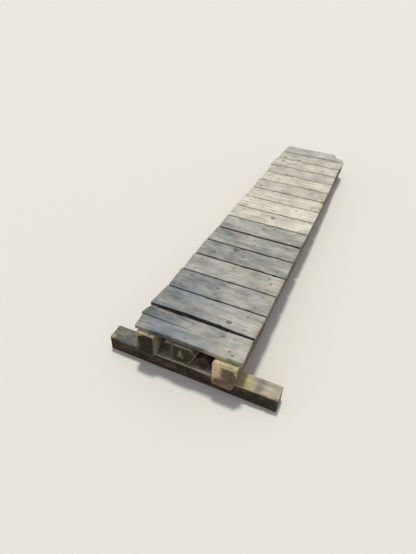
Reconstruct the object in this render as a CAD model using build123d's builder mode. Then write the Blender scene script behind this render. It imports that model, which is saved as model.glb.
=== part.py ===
"""A plank footbridge: boards nailed across four rough stringers, with a squared sill at one end.

The near ends of the stringers lie in shallow seats on the sill. Their far ends have no sill: they
are trimmed flat underneath and bear on the same level as the sill's underside, so the deck falls
gently away from the near end.

Frame: +Y runs along the bridge, away from the sill, +X to the right and +Z up. The origin is the
middle of the sill's underside. Sizes are millimetres.
"""
import os
from math import asin, atan2, cos, sin, sqrt

from build123d import *

os.makedirs("parts", exist_ok=True)

# Deck boards, laid across the bridge
board_count = 16
board_length = 610
board_width = 181
board_thickness = 27
# The first board is narrower than the others
first_board_width = 172

# Open joint behind each board, from the near end. The list starts again on a longer deck.
joint_widths = [14, 8, 7, 9, 10, 10, 7, 6, 5, 6, 5, 4, 5, 6, 5]

# How far each board stands out past the deck's left and right edge, at its near and far corner
left_ends = [
    (-8, 6), (10, -2), (-4, 4), (-5, 4), (-1, 6), (3, -2), (-5, 4), (-1, 5),
    (5, -4), (-1, -9), (-9, 0), (-14, -1), (-10, 0), (10, 4), (-8, -2), (-12, -9),
]
right_ends = [
    (0, -4), (-2, 2), (2, -1), (0, 1), (1, -1), (-1, 0), (-3, 2), (1, 3),
    (2, 3), (1, 2), (0, -1), (1, -2), (-3, -6), (-8, -8), (-5, 0), (0, -4),
]

# The first board has split along the grain from its left end
split_from_near_edge = 93
split_length = 290
split_opening = 5

# The second board's near edge is hollow with wane, from its left corner to a point on its right
hollow_at_left = 7
hollow_depth = 13
hollow_right_margin = 60

# The last board has lost its far right corner and is chipped at its far left one
lost_corner = [(-118, 0), (-79, -90), (-30, -96), (-3, -140), (2, -163)]
chip_across = 26
chip_along = 38

# Sill, squared, across the near end
sill_width = 98
sill_height = 102
sill_left_overhang = 165
sill_right_overhang = 202
sill_arris = 5
# Distance of the sill's front face behind the deck's near edge
sill_setback = 3

# Stringers
stringer_depth = 145
seat_depth = 1.5
seat_clearance = 1
far_seat_length = 180

left_stringer_inset = 22
left_stringer_width = 108
left_stringer_far_width = 104
left_stringer_arris = 9
left_stringer_projection = 22
left_stringer_far_setback = 10

middle_log_width = 146
middle_log_far_width = 138
middle_log_arris = 9
middle_log_wane_across = 36
middle_log_wane_down = 30
middle_log_slant_across = 53
middle_log_slant_up = 91
middle_log_near_setback = 0
middle_log_far_setback = 22

pole_near_diameter = 86
# The pole's thick end is as deep as the other stringers, with this much more to trim flat
pole_bottom_trim = 1
pole_near_setback = 16
pole_far_setback = 5
# Clear space between the pole and the slanted underside of the middle log that it lies against
pole_clearance = 3

right_log_width = 150
right_log_far_width = 132
# How much deeper the right log is than the others at its near end, where it is notched over the sill
right_log_heel = 33
right_log_edge_inset = 6
# The log's left side: its rounded top corner (across, down) and its lower corner (across, up)
right_log_left_shoulder = (24, 45)
right_log_left_foot = (10, 20)
right_log_right_shoulder = 10
right_log_right_undercut = 31
right_log_projection = 22
right_log_far_setback = 135

# Clear space between the pole and the right log, at their near and far ends
pole_to_right_log = (18, 5)

# Deck layout, measured from the middle of the sill's length across and from the deck's near edge
sill_length = sill_left_overhang + board_length + sill_right_overhang
deck_left = sill_left_overhang - sill_length / 2
deck_right = deck_left + board_length
joints = [joint_widths[i % len(joint_widths)] for i in range(board_count - 1)]
deck_length = first_board_width + (board_count - 1) * board_width + sum(joints)

# Fall of the deck: the stringers' undersides come down from their seats on the sill to the floor
stack = board_thickness + stringer_depth
fall_height = sill_height - seat_depth
fall = asin(fall_height / (deck_length - far_seat_length - sill_setback))
deck_near_y = -sill_width / 2 - sill_setback * cos(fall) + stack * sin(fall)
deck_near_z = fall_height + sill_setback * sin(fall) + stack * cos(fall)
deck_top = Plane(origin=(0, deck_near_y, deck_near_z), x_dir=(1, 0, 0), z_dir=(0, sin(fall), cos(fall)))


def cross_section(along):
    """Plane square to the deck at a distance from its near edge: x across, y up from the deck's top."""
    origin = deck_top.from_local_coords((0, along, 0))
    return Plane(origin=origin, x_dir=(1, 0, 0), z_dir=(0, -cos(fall), sin(fall)))


def board_corners(index, near, far):
    """The four corners of a board that runs from near to far along the deck."""
    left_near, left_far = left_ends[index % len(left_ends)]
    right_near, right_far = right_ends[index % len(right_ends)]
    return [
        (deck_left - left_near, near),
        (deck_right + right_near, near),
        (deck_right + right_far, far),
        (deck_left - left_far, far),
    ]


def cut_split(near):
    """Opens the wedge of the first board's split, from its left end to the tip."""
    split = near + split_from_near_edge
    mouth = deck_left - 2 * max(left_ends[0])
    with BuildSketch(deck_top) as opening:
        with BuildLine():
            Polyline(
                (mouth, split),
                (deck_left + split_length, split + split_opening / 2),
                (mouth, split + split_opening),
                close=True,
            )
        make_face()
    extrude(opening.sketch, amount=-board_thickness, mode=Mode.SUBTRACT)


def cut_hollow(corners):
    """Takes a shallow hollow out of a board's near edge."""
    left, near = corners[0]
    right = corners[1][0] - hollow_right_margin
    with BuildSketch(deck_top) as hollow:
        with BuildLine():
            Line((right, near), (left, near))
            Line((left, near), (left, near + hollow_at_left))
            ThreePointArc(
                (left, near + hollow_at_left),
                ((left + right) / 2, near + hollow_depth),
                (right, near),
            )
        make_face()
    extrude(hollow.sketch, amount=-board_thickness, mode=Mode.SUBTRACT)


def cut_broken_corners(far):
    """Takes off the last board's lost right corner and its chipped left one."""
    beyond = 2 * chip_along
    corner = [(deck_right + across, far + along) for across, along in lost_corner]
    left_near, left_far = left_ends[(board_count - 1) % len(left_ends)]
    chip_left = deck_left - max(left_near, left_far)
    with BuildSketch(deck_top) as broken:
        with BuildLine():
            Polyline(
                *corner,
                (deck_right + beyond, corner[-1][1]),
                (deck_right + beyond, far + beyond),
                (corner[0][0], far + beyond),
                close=True,
            )
        make_face()
        with BuildLine():
            Polyline(
                (chip_left, far - chip_along),
                (chip_left + chip_across, far),
                (chip_left, far + beyond),
                (chip_left - beyond, far),
                close=True,
            )
        make_face()
    extrude(broken.sketch, amount=-board_thickness, mode=Mode.SUBTRACT)


# Deck boards
near = 0
for index in range(board_count):
    width = first_board_width if index == 0 else board_width
    far = near + width
    corners = board_corners(index, near, far)
    with BuildPart() as deck_board:
        with BuildSketch(deck_top):
            with BuildLine():
                Polyline(*corners, close=True)
            make_face()
        extrude(amount=-board_thickness)
        if index == 0:
            cut_split(near)
        if index == 1:
            cut_hollow(corners)
        if index == board_count - 1:
            cut_broken_corners(far)
    deck_board.part.label = f"deck_board_{index + 1:02d}"
    export_step(deck_board.part, f"parts/{deck_board.part.label}.step")
    if index < board_count - 1:
        near = far + joints[index]


# Sill
with BuildPart() as near_sill:
    with BuildSketch(Plane.YZ.offset(-sill_length / 2)):
        with Locations((0, sill_height / 2)):
            RectangleRounded(sill_width, sill_height, sill_arris)
    extrude(amount=sill_length)
near_sill.part.label = "near_sill"
export_step(near_sill.part, "parts/near_sill.step")


# Places of the stringers across the bridge, as (near end, far end)
top = -board_thickness
bottom = -stack
right_log_right = deck_right - right_log_edge_inset
right_log_left = (right_log_right - right_log_width, right_log_right - right_log_far_width)
pole_diameter = (pole_near_diameter, stringer_depth + pole_bottom_trim)
pole_right = [left - space for left, space in zip(right_log_left, pole_to_right_log)]
pole_middle = [right - diameter / 2 for right, diameter in zip(pole_right, pole_diameter)]


def slant_reach(radius):
    """How far the middle of a pole of this radius lies to the right of the slant's lower end."""
    slant = atan2(middle_log_slant_up, middle_log_slant_across)
    return (radius + pole_clearance + radius * cos(slant)) / sin(slant)


middle_log_right = [
    middle - slant_reach(diameter / 2) + middle_log_slant_across
    for middle, diameter in zip(pole_middle, pole_diameter)
]


def trim_seats():
    """Cuts the seat on the sill and the flat that the far end bears on."""
    seat_width = sill_width + 2 * seat_clearance
    with Locations((0, 0, sill_height / 2)):
        Box(sill_length, seat_width, sill_height, mode=Mode.SUBTRACT)
    split(bisect_by=Plane.XY, keep=Keep.TOP)


# Left stringer: a rough-sawn timber
left_stringer_left = deck_left + left_stringer_inset
with BuildPart() as left_stringer:
    for along, width in (
        (-left_stringer_projection, left_stringer_width),
        (deck_length - left_stringer_far_setback, left_stringer_far_width),
    ):
        with BuildSketch(cross_section(along)):
            with Locations((left_stringer_left + width / 2, (top + bottom) / 2)):
                RectangleRounded(width, stringer_depth, left_stringer_arris)
    loft()
    trim_seats()
left_stringer.part.label = "left_stringer"
export_step(left_stringer.part, "parts/left_stringer.step")


# Middle stringer: a log hewn to a flat top, left side and underside, with facets on its right. Its
# lower right facet leans out over the pole.
with BuildPart() as middle_stringer:
    for along, right, width in (
        (middle_log_near_setback, middle_log_right[0], middle_log_width),
        (deck_length - middle_log_far_setback, middle_log_right[1], middle_log_far_width),
    ):
        left = right - width
        with BuildSketch(cross_section(along)):
            with BuildLine():
                Polyline(
                    (left + middle_log_arris, top),
                    (right - middle_log_wane_across, top),
                    (right, top - middle_log_wane_down),
                    (right, bottom + middle_log_slant_up),
                    (right - middle_log_slant_across, bottom),
                    (left + middle_log_arris, bottom),
                    (left, bottom + middle_log_arris),
                    (left, top - middle_log_arris),
                    close=True,
                )
            make_face()
    loft()
    trim_seats()
middle_stringer.part.label = "middle_stringer"
export_step(middle_stringer.part, "parts/middle_stringer.step")


# Pole stringer: a round pole with its thin end on the sill; its thick end reaches the boards
with BuildPart() as pole_stringer:
    for along, middle, diameter in (
        (pole_near_setback, pole_middle[0], pole_diameter[0]),
        (deck_length - pole_far_setback, pole_middle[1], pole_diameter[1]),
    ):
        with BuildSketch(cross_section(along)):
            with Locations((middle, bottom - pole_bottom_trim + diameter / 2)):
                Circle(diameter / 2)
    loft()
    trim_seats()
pole_stringer.part.label = "pole_stringer"
export_step(pole_stringer.part, "parts/pole_stringer.step")


# Right stringer: a log hewn flat on its top and underside, notched over the sill. The arc of its
# rounded left shoulder passes this share of the shoulder's size in from the square corner.
corner_cut = 1 - sqrt(0.5)
shoulder_across, shoulder_down = right_log_left_shoulder
foot_across, foot_up = right_log_left_foot
with BuildPart() as right_stringer:
    for along, left, heel in (
        (-right_log_projection, right_log_left[0], right_log_heel),
        (deck_length - right_log_far_setback, right_log_left[1], 0),
    ):
        underside = bottom - heel
        top_left = (left + shoulder_across, top)
        shoulder = (left + shoulder_across * corner_cut, top - shoulder_down * corner_cut)
        side_top = (left, top - shoulder_down)
        side_foot = (left, underside + foot_up)
        bottom_left = (left + foot_across, underside)
        top_right = (right_log_right - right_log_right_shoulder, top)
        bottom_right = (right_log_right - right_log_right_undercut, underside)
        middle = (top + underside) / 2
        with BuildSketch(cross_section(along)):
            with BuildLine():
                Line(top_left, top_right)
                ThreePointArc(top_right, (right_log_right, middle), bottom_right)
                Polyline(bottom_right, bottom_left, side_foot, side_top)
                ThreePointArc(side_top, shoulder, top_left)
            make_face()
    loft()
    trim_seats()
right_stringer.part.label = "right_stringer"
export_step(right_stringer.part, "parts/right_stringer.step")
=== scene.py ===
"""Plank footbridge: sixteen weathered boards nailed across four rough stringers, on a squared sill.

Every piece of wood is a mesh worked over the part's own node, in metres: boards as slabs with raised
grain, drying checks, knots and worn edges, and the sill and stringers as stacks of rings with end
grain. Each mesh carries its own record of grain and wear, and of painted light and shade, which the
wood's materials read.
"""
import math
from types import SimpleNamespace

import bmesh
import bpy
import numpy as np
from mathutils import Matrix, Vector


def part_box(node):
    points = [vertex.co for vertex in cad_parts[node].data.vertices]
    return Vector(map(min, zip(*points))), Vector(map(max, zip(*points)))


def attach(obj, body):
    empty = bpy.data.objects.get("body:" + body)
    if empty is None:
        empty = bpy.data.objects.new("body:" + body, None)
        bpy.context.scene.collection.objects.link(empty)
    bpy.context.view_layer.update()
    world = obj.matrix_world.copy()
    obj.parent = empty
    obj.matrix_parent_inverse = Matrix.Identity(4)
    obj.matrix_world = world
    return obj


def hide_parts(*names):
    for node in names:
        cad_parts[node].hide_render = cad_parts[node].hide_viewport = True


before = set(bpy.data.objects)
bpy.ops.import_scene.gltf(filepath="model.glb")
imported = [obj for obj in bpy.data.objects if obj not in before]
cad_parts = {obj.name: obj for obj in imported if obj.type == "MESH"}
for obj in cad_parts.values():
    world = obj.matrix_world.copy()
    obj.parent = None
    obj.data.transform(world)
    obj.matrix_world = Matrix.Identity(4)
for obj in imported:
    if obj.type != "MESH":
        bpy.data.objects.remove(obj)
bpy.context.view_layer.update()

# Sizes of the part that the looks follow
board_count = 16
board_thickness = 0.027
sill_left_overhang = 0.165
sill_top = 0.102
seat_reach = 0.050
split_place = 0.0955
split_length = 0.290
split_opening = 0.005
hollow_at_left = 0.007
hollow_depth = 0.013
hollow_right_margin = 0.060
chip_across = 0.026
chip_along = 0.038
lost_corner = [(0.163, 0.0), (0.140, 0.003), (0.096, 0.030), (0.090, 0.079), (0.0, 0.118)]

# The deck's own frame: x from its left edge, y along it from its near edge, z up from the boards' tops
first_low, first_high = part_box("deck_board_01")
last_low, last_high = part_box(f"deck_board_{board_count:02d}")
fall = math.atan2(first_high.z - last_high.z, last_low.y - first_low.y)
deck_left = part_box("near_sill")[0].x + sill_left_overhang
deck_near_y = first_low.y + board_thickness * math.sin(fall)
deck = Matrix.Translation((deck_left, deck_near_y, first_high.z)) @ Matrix.Rotation(-fall, 4, "X")
deck_turn = np.array(deck.to_3x3())
deck_place = np.array(deck.translation)


def from_deck(points):
    """Points of the deck's frame, in the row frame."""
    return points @ deck_turn.T + deck_place


def to_deck(points):
    """Points of the row frame, in the deck's frame."""
    return (points - deck_place) @ deck_turn


def node_points(node):
    """The corners of a node's mesh, each once."""
    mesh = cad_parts[node].data
    points = np.empty(len(mesh.vertices) * 3)
    mesh.vertices.foreach_get("co", points)
    return np.unique(points.reshape(-1, 3).round(6), axis=0)


# Unevenness: the same numbers each run, from whole-numbered places and a seed

def lattice(ix, iy, iz, seed):
    """A number from 0 to 1 for each place of a whole-numbered grid."""
    mixed = (ix * 73856093) ^ (iy * 19349663) ^ (iz * 83492791) ^ (seed * 2654435761)
    mixed = (mixed ^ (mixed >> 13)) & 0xFFFFFFFF
    mixed = (mixed * 1274126177) & 0xFFFFFFFF
    return ((mixed ^ (mixed >> 16)) & 0xFFFF) / 65535.0


def eased(share):
    """Goes from 0 to 1 with soft ends."""
    share = np.clip(share, 0.0, 1.0)
    return share * share * (3 - 2 * share)


def bump(value, middle, spread):
    """1 where the value is at the middle, falling smoothly to 0 over twice the spread."""
    return np.exp(-((value - middle) / spread) ** 2)


def rounded(distance, radius):
    """How far a rounded arris has fallen away at a distance in from the edge."""
    inside = np.clip(1 - distance / radius, 0, 1)
    return radius * (1 - np.sqrt(1 - inside ** 2))


def uneven(seed, x, y=0.0, z=0.0):
    """Smooth noise from 0 to 1, with lumps about one unit across."""
    x, y, z = np.broadcast_arrays(np.asarray(x, float), np.asarray(y, float), np.asarray(z, float))
    corner = [np.floor(v).astype(np.int64) for v in (x, y, z)]
    part = [eased(v - c) for v, c in zip((x, y, z), corner)]
    total = np.zeros(x.shape)
    for dx in (0, 1):
        for dy in (0, 1):
            for dz in (0, 1):
                weight = 1.0
                for step, share in zip((dx, dy, dz), part):
                    weight = weight * (share if step else 1 - share)
                total += weight * lattice(corner[0] + dx, corner[1] + dy, corner[2] + dz, seed)
    return total


# Meshes

# Layers of a wooden mesh's record and what each holds. One more, grain, is a point's place in the trunk.
record_layers = {
    "marks": ("crack", "pale", "rust"),
    "knot": ("knot_along", "knot_across", "knot_near"),
    "age": ("moss", "dirt", "end"),
    # Lightness and blue-grey in the shade layer are partly the wood's own tone and partly painted light and
    # shade
    "shade": ("light", "cool", "radius"),
}
wood_states = sum(record_layers.values(), ())

# How far from its middle a knot is recorded, in its own radii, so that two knots never run together
knot_reach = 2.5
no_knot = 9.0

# How far on in the grain's noise each next board and timber begins, so that no two have the same figure
next_board, next_timber = 4.1, 5.3

# Points closer than this are one, and faces that meet at more than this angle meet at a sharp edge
weld_distance = 0.00002
sharp_angle = math.radians(55)


def lay(work, grid, **state):
    """Adds a grid of points and the state of their wood to a piece's work, and gives their numbers."""
    first = sum(len(points) for points, _ in work)
    shape = grid.shape[:-1]
    states = {name: np.broadcast_to(state.get(name, 0.0), shape).ravel() for name in wood_states}
    work.append((grid.reshape(-1, 3), states))
    return first + np.arange(math.prod(shape)).reshape(shape)


def gathered(work):
    """All the points of a piece's work, and the state of the wood at each."""
    states = {name: np.concatenate([state[name] for _, state in work]) for name in wood_states}
    return np.concatenate([points for points, _ in work]), states


def quads(ids, keep=None):
    """Four-sided faces over a grid of point numbers, apart from those that keep leaves out."""
    faces = np.stack([ids[:-1, :-1], ids[1:, :-1], ids[1:, 1:], ids[:-1, 1:]], -1)
    if keep is not None:
        faces = faces[keep]
    return faces.reshape(-1, 4).tolist()


def fan(ring, crown):
    """Three-sided faces from a closed ring of point numbers to one point."""
    return [[int(a), int(b), int(crown)] for a, b in zip(ring[:-1], ring[1:])]


def closed_round(ids):
    """A grid of point numbers with its first column again after its last."""
    return np.column_stack([ids, ids[:, 0]])


def new_object(name, data):
    """An object in the scene."""
    made = bpy.data.objects.new(name, data)
    bpy.context.scene.collection.objects.link(made)
    return made


def make_piece(name, points, faces, grain, states, material, slot, *nodes):
    """A finished piece from points in the row frame, with the record that its material reads.

    Nodes are those it replaces, and states the wood's at each point, which nails don't have.
    """
    mesh = bpy.data.meshes.new(name)
    mesh.from_pydata(points.tolist(), [], faces)
    record = {"grain": grain}
    if states:
        for layer, names in record_layers.items():
            record[layer] = np.stack([states[state] for state in names], -1)
    for layer, values in record.items():
        numbers = np.ascontiguousarray(values, dtype=np.float32).ravel()
        mesh.attributes.new(layer, "FLOAT_VECTOR", "POINT").data.foreach_set("vector", numbers)
    work = bmesh.new()
    work.from_mesh(mesh)
    bmesh.ops.remove_doubles(work, verts=work.verts, dist=weld_distance)
    bmesh.ops.recalc_face_normals(work, faces=work.faces)
    work.to_mesh(mesh)
    work.free()
    mesh.shade_smooth()
    mesh.set_sharp_from_angle(angle=sharp_angle)
    mesh.materials.append(material)
    piece = new_object(name, mesh)
    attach(piece, "root")
    if nodes:
        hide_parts(*nodes)


def nearest_knot(places):
    """From places along and across about each knot, in its radii: those about the nearest one."""
    nearest = np.full_like(places[0], no_knot)
    for place in places:
        closer = np.hypot(place[..., 0], place[..., 1]) < np.hypot(nearest[..., 0], nearest[..., 1])
        nearest = np.where(closer[..., None], place, nearest)
    along, across = nearest[..., 0], nearest[..., 1]
    return {"knot_along": along, "knot_across": across, "knot_near": np.hypot(along, across) < knot_reach}


# Deck boards

# Knots by board, as (from the left end, from the near edge, radius). The others are drawn by lot.
seen_knots = {
    1: [(0.445, 0.128, 0.011), (0.515, 0.046, 0.006)],
    2: [(0.452, 0.052, 0.014), (0.115, 0.140, 0.012)],
    3: [(0.272, 0.100, 0.010), (0.020, 0.028, 0.012)],
    5: [(0.105, 0.062, 0.013), (0.228, 0.150, 0.017), (0.300, 0.092, 0.009)],
    7: [(0.300, 0.112, 0.012)],
    8: [(0.318, 0.110, 0.014)],
    14: [(0.085, 0.120, 0.013)],
    15: [(0.205, 0.030, 0.014), (0.060, 0.040, 0.018)],
}

# How blue-grey each board is, and how light, from the near end: partly the wood's tone, partly painted shade
# on the near boards and painted sunlight on the far ones
board_blue_grey_and_shade = [0.95, 0.85, 0.9, 0.55, 0.8, 0.75, 0.65, 0.2, 0.15, 0.2, 0.3, 0.25, 0.45, 0.3, 0.4, 0.6]
board_light_sun_and_shade = [-0.8, -0.6, -0.6, -0.4, -0.85, -0.7, -0.5, 0.6, 1.05, 0.75, 0.25, 0.5, 0.4, 0.75, 0.4, 0.3]

# How much wider feet and weather have worn some joints, by the number of the board before each
joint_wear = {4: 0.0012, 5: 0.0010, 6: 0.0062, 8: 0.0008, 9: 0.0010, 10: 0.0036, 11: 0.0024, 12: 0.0022,
              13: 0.0036, 15: 0.0044}

# Nail rows: the middles of the three stringers that the boards are nailed to, at near and far end
nail_rows = [(0.076, 0.074), (0.294, 0.262), (0.531, 0.538)]
nail_places = (0.21, 0.79)
nail_head_radius = 0.0038
nail_dent_radius = 0.007

# Places of a board's points in from its edges, in from its ends, and down its thickness as shares
arris_steps = np.array([0.0, 0.0007, 0.0018, 0.0034])
board_end_steps = np.array([0.0, 0.0009, 0.0024, 0.0048])
down_steps = np.array([0.10, 0.24, 0.36, 0.46, 0.56, 0.68, 0.80, 0.92])

# Evenly spaced rows of points along a board between its ends, and the share of its length they begin at
board_rows, first_row = 70, 0.0150

# How far each row down an edge is set back: on a plain edge, and where layers have parted
plain_edge = np.array([0, 0.0006, 0.0002, 0.0012, 0.0002, 0.0006, 0, 0])
parted_edge = np.array([0.0, 0.0008, 0.0052, 0.0060, 0.0010, 0.0004, 0.0032, 0.0004])

# Radii of the arrises, and how far in from an edge its wear bends the lines of the grain
top_arris, top_arris_spread = 0.0030, 0.0016
end_arris = 0.0022
underside_arris = 0.0016
edge_reach = 0.03

# How dirty the wood is in the joints, where it is partly painted shade, on the edges in the open, in parted
# layers and underneath
joint_dirt_and_shade, open_dirt, parted_dirt, underside_dirt = 1.7, 1.4, 0.3, 0.75

# How much of a check's dark the edges in the joints have, as painted shade, and how near the deck's ends
# edges are open
joint_dark_and_shade = 0.5
open_at_near, open_at_far = 0.050, 0.020


def board_outline(number):
    """Near and far edge of a board, and its left and right end at each, in the deck's frame."""
    points = to_deck(node_points(f"deck_board_{number:02d}"))
    top = points[points[:, 2] > -board_thickness / 2]
    near, far = top[:, 1].min(), top[:, 1].max()
    reach = lost_corner[0][0] + 0.002 if number == board_count else 0.02
    at_near = top[top[:, 1] < near + 0.02, 0]
    at_far = top[top[:, 1] > far - reach, 0]
    return near, far, (at_near.min(), at_far.min()), (at_near.max(), at_far.max())


deck_length = board_outline(board_count)[1]


def board_marks(number, draw, width):
    """A board's knots, as (from its left end, from its near edge, radius), and its drying checks."""
    knots = list(seen_knots.get(number, []))
    while len(knots) < 2:
        along, place = draw.uniform(0.04, 0.57), draw.uniform(0.02, width - 0.02)
        knots.append((along, place, draw.uniform(0.004, 0.009)))
    checks = np.sort(draw.uniform(0.012, width - 0.012, draw.integers(3, 6)))
    checks = checks[np.concatenate([[True], np.diff(checks) > 0.006])]
    if number == 1:
        checks = checks[np.abs(checks - split_place) > 0.008]
    return knots, checks


def board_columns(width, checks, spacing=0.0038):
    """Places across a board: close at its edges and at each drying check, even between."""
    edge_band, check_band, check_half = 0.0055, 0.0026, 0.0008
    edges = np.concatenate([arris_steps, width - arris_steps])
    even = np.linspace(0, width, round(width / spacing) + 1)
    even = even[(even > edge_band) & (even < width - edge_band)]
    for check in checks:
        even = even[np.abs(even - check) > check_band]
    close = [check + side for check in checks for side in (-check_half, 0.0, check_half)]
    return np.unique(np.concatenate([edges, even, close]).round(6))


def board_ends(number, across, width, left, right):
    """Left and right end of a board at each place across it, with torn fibres."""
    left_end = np.interp(across, [0, width], left)
    right_end = np.interp(across, [0, width], right)
    if number == 1:
        torn = np.interp(across, [split_place, 0.120, width], [-0.013, -0.009, 0.009])
        left_end = np.where(across > split_place, torn, left_end)
    if number == board_count:
        from_far = width - across
        left_end = left_end + np.clip(1 - from_far / chip_along, 0, 1) * chip_across
        places, cuts = zip(*reversed(lost_corner))
        broken = right[0] - np.interp(from_far, places, cuts)
        right_end = np.where(from_far < places[-1], broken, right_end)
    coarse, fine = across / 0.022, across / 0.005
    left_end = left_end + (0.0022 * uneven(number, coarse) + 0.0012 * uneven(number + 40, fine))
    right_end = right_end - (0.0018 * uneven(number + 80, coarse) + 0.0010 * uneven(number + 120, fine))
    return left_end, right_end


def board_chips(number, x, edge):
    """How far the near (0) or far (1) edge is worn back along it: fine wear with a few longer chips."""
    seed = 200 + 10 * number + edge
    fine = 0.0007 * uneven(seed, x / 0.03) + 0.0005 * uneven(seed + 1, x / 0.007)
    chips = 0.0030 * eased((uneven(seed + 2, x / 0.045) - 0.76) / 0.08)
    return fine + chips + joint_wear.get(number - 1 + edge, 0.0) / 2


def plan_board(number):
    """A board from above: the grid of its points, the grain's lines, its knots, checks and worn edges."""
    draw = np.random.default_rng(number)
    near, far, left, right = board_outline(number)
    width, length = far - near, right[0] - left[0]
    knots, checks = board_marks(number, draw, width)
    across = board_columns(width, checks)
    split = None
    if number == 1:
        across = across[np.abs(across - split_place) > 0.0018]
        split = int(np.searchsorted(across, split_place))
        across = np.insert(across, split, [split_place, split_place])
    end_steps = board_end_steps / length
    even = np.linspace(first_row, 1 - first_row, board_rows)
    share = np.concatenate([end_steps, even, 1 - end_steps[::-1]])
    left_end, right_end = board_ends(number, across, width, left, right)
    x = left_end + share[:, None] * (right_end - left_end)
    v = np.broadcast_to(across, x.shape)

    # Lines of the grain wander a little and part round each knot, but not at the edges
    free = np.sin(np.pi * v / width)
    wander = 0.0045 * (uneven(300 + number, x / 0.22, v / 0.07) - 0.5) * free
    for along, place, radius in knots:
        dx, dv = x - (left[0] + along), v - place
        part = radius * dv / (np.abs(dv) + radius)
        wander += part * np.exp(-(dx / (2.2 * radius)) ** 2 - np.abs(dv) / (2.5 * radius)) * free
    y = v + wander
    gap = np.zeros_like(x)
    if number == 1:
        gap = split_opening * np.clip(1 - (x - left[0]) / split_length, 0, 1) ** 0.8
        side = np.where(np.arange(len(across)) <= split, -1.0, 1.0)
        y = y + side * gap / 2 * np.exp(-np.abs(v - split_place) / 0.02)
    knot = nearest_knot([np.stack([(x - (left[0] + along)) / (1.25 * radius), (y - place) / radius], -1)
                         for along, place, radius in knots])

    near_back = board_chips(number, x, 0)
    if number == 2:
        run = np.clip((x - left[0]) / (length - hollow_right_margin), 0, 1)
        bow = 4 * (hollow_depth - hollow_at_left / 2) * run * (1 - run)
        near_back = near_back + hollow_at_left * (1 - run) + bow
    at_near, at_far = (np.clip(1 - distance / edge_reach, 0, 1) for distance in (v, width - v))
    y = y + near_back * at_near - board_chips(number, x, 1) * at_far
    return SimpleNamespace(
        number=number, draw=draw, near=near, far=far, width=width, left=left[0], length=length,
        across=across, checks=checks, split=split, gap=gap, right_end=right_end, x=x, v=v, y=y,
        knot=knot, from_end=np.minimum(x - left_end, right_end - x))


def drive_nails(board, low, nails):
    """Adds a board's nails to the list, dents its top at each, and gives the rust and stain round them."""
    draw, x, y = board.draw, board.x, board.y
    rust, stain = np.zeros_like(x), np.zeros_like(x)
    halfway = (board.near + board.far) / 2 / deck_length
    for at_near, at_far in nail_rows:
        for place in nail_places:
            nail_x = at_near + (at_far - at_near) * halfway + draw.uniform(-0.016, 0.016)
            nail_y = board.width * place + draw.uniform(-0.010, 0.010)
            if board.number == 1 and place > 0.5:
                nail_y = max(nail_y, 0.125)
            nail_x = min(nail_x, np.interp(nail_y, board.across, board.right_end) - 0.022)
            distance = np.hypot(x - nail_x, y - nail_y)
            dent = bump(distance, 0.0, nail_dent_radius)
            low += 0.0009 * dent
            rust = np.maximum(rust, 0.30 * dent)
            run = np.hypot((x - nail_x) / 0.028, (y - nail_y) / 0.0050)
            stain = np.maximum(stain, bump(run, 0.0, 1.0) * 0.45)
            closest = np.unravel_index(np.argmin(distance), distance.shape)
            spot = (nail_x, board.near + nail_y, -low[closest] + 0.0003)
            nails.append((spot, draw.uniform(-0.12, 0.12, 2)))
    return rust, stain


def work_top(board, nails):
    """How far a board's top lies below the deck: cupped, with raised grain, rounded arrises and checks."""
    number, draw, width, across = board.number, board.draw, board.width, board.across
    x, v, from_end = board.x, board.v, board.from_end
    cup = draw.uniform(0.2, 1.3) / 1000
    tip = draw.uniform(-0.7, 0.7) / 1000
    low = 0.0002 + cup * (1 - (2 * v / width - 1) ** 2) + np.abs(tip) / 2 + tip * (v / width - 0.5)
    low += 0.0009 * uneven(400 + number, x / 0.11, v / 0.045)
    low += 0.00055 * uneven(450 + number, x / 0.09, v / 0.0045)
    low -= 0.00035 * eased(2 - np.hypot(board.knot["knot_along"], board.knot["knot_across"]))
    arris = top_arris + top_arris_spread * uneven(500 + number, x / 0.07)
    low += rounded(v, arris)
    low += rounded(width - v, arris)
    low += rounded(from_end, end_arris)
    crack = np.zeros_like(x)
    for count, check in enumerate(board.checks):
        column = int(np.argmin(np.abs(across - check)))
        reach = uneven(550 + 20 * number + count, x[:, column] / 0.12)
        open_here = eased((reach - draw.uniform(0.50, 0.70)) / 0.16)
        at_end = np.exp(-from_end[:, column] / draw.uniform(0.02, 0.07)) * draw.uniform(0, 1)
        open_here = np.clip(open_here + at_end, 0, 1)
        low[:, column] += draw.uniform(0.0020, 0.0045) * open_here
        crack[:, column] = np.maximum(crack[:, column], open_here)
    if number == 1:
        # The split has worn lips, and runs on past its end as a fine check that comes and goes
        from_split = np.abs(v - split_place)
        lip = np.exp(-from_split / 0.0015) * (board.gap > 0)
        after = np.exp(-from_split / 0.0012) * (board.gap == 0) * (uneven(591, x / 0.02) > 0.5)
        after = after * (x < 0.420)
        low += 0.0015 * lip
        low += 0.003 * after
        crack = np.maximum(np.maximum(crack, 0.6 * lip), after)
    rust, stain = drive_nails(board, low, nails)

    # A rusty stain where the tenth and eleventh boards meet at their right ends
    corner = {10: (v - 0.12) / 0.05, 11: (0.04 - v) / 0.03}
    if number in corner:
        rust = np.maximum(rust, 0.8 * eased((x - 0.575) / 0.03) * eased(corner[number]))
    return low, crack, rust, stain


def board_grain(board, points):
    """Where a board's points lie in its trunk: along it, and across and up from the pith."""
    draw, inner = board.draw, board.v.ravel()
    beside, above = draw.uniform(-0.03, 0.03), draw.uniform(0.035, 0.075) * draw.choice([-1, 1])
    across = np.concatenate([inner, inner, points[2 * inner.size:, 1] - board.near])
    across = across - board.width / 2 - beside
    return np.stack([points[:, 0] + next_board * board.number, across, points[:, 2] - above], -1)


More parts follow.
